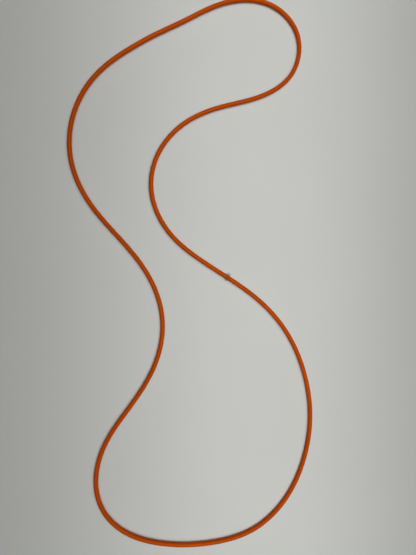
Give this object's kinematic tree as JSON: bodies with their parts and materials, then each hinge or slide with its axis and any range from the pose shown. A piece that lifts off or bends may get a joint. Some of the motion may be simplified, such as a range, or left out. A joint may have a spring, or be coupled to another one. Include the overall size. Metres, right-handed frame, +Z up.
{
  "type": "round drive belt",
  "caption": "Endless round drive belt of solid orange urethane cord, butt-welded into a loop, with fins of flash left at the weld, lying loose on a flat surface.",
  "frame": {"origin": "on the surface that the belt lies on, under the middle of the loop's outline", "axes": "+Z up from that surface, +Y along the loop's longer side, +X to the right of it seen from above"},
  "size_m": [0.3472, 0.7811, 0.0063],
  "materials": {
    "orange_urethane": "satin extruded urethane",
    "fused_urethane": "satin, remelted at the weld",
    "flash_urethane": "thin, smoky and translucent"
  },
  "bodies": {
    "root": {"belt_cord": "orange_urethane", "weld_seam": "fused_urethane", "weld_flash_outer": "flash_urethane", "weld_flash_inner": "flash_urethane"}
  },
  "joints": []
}
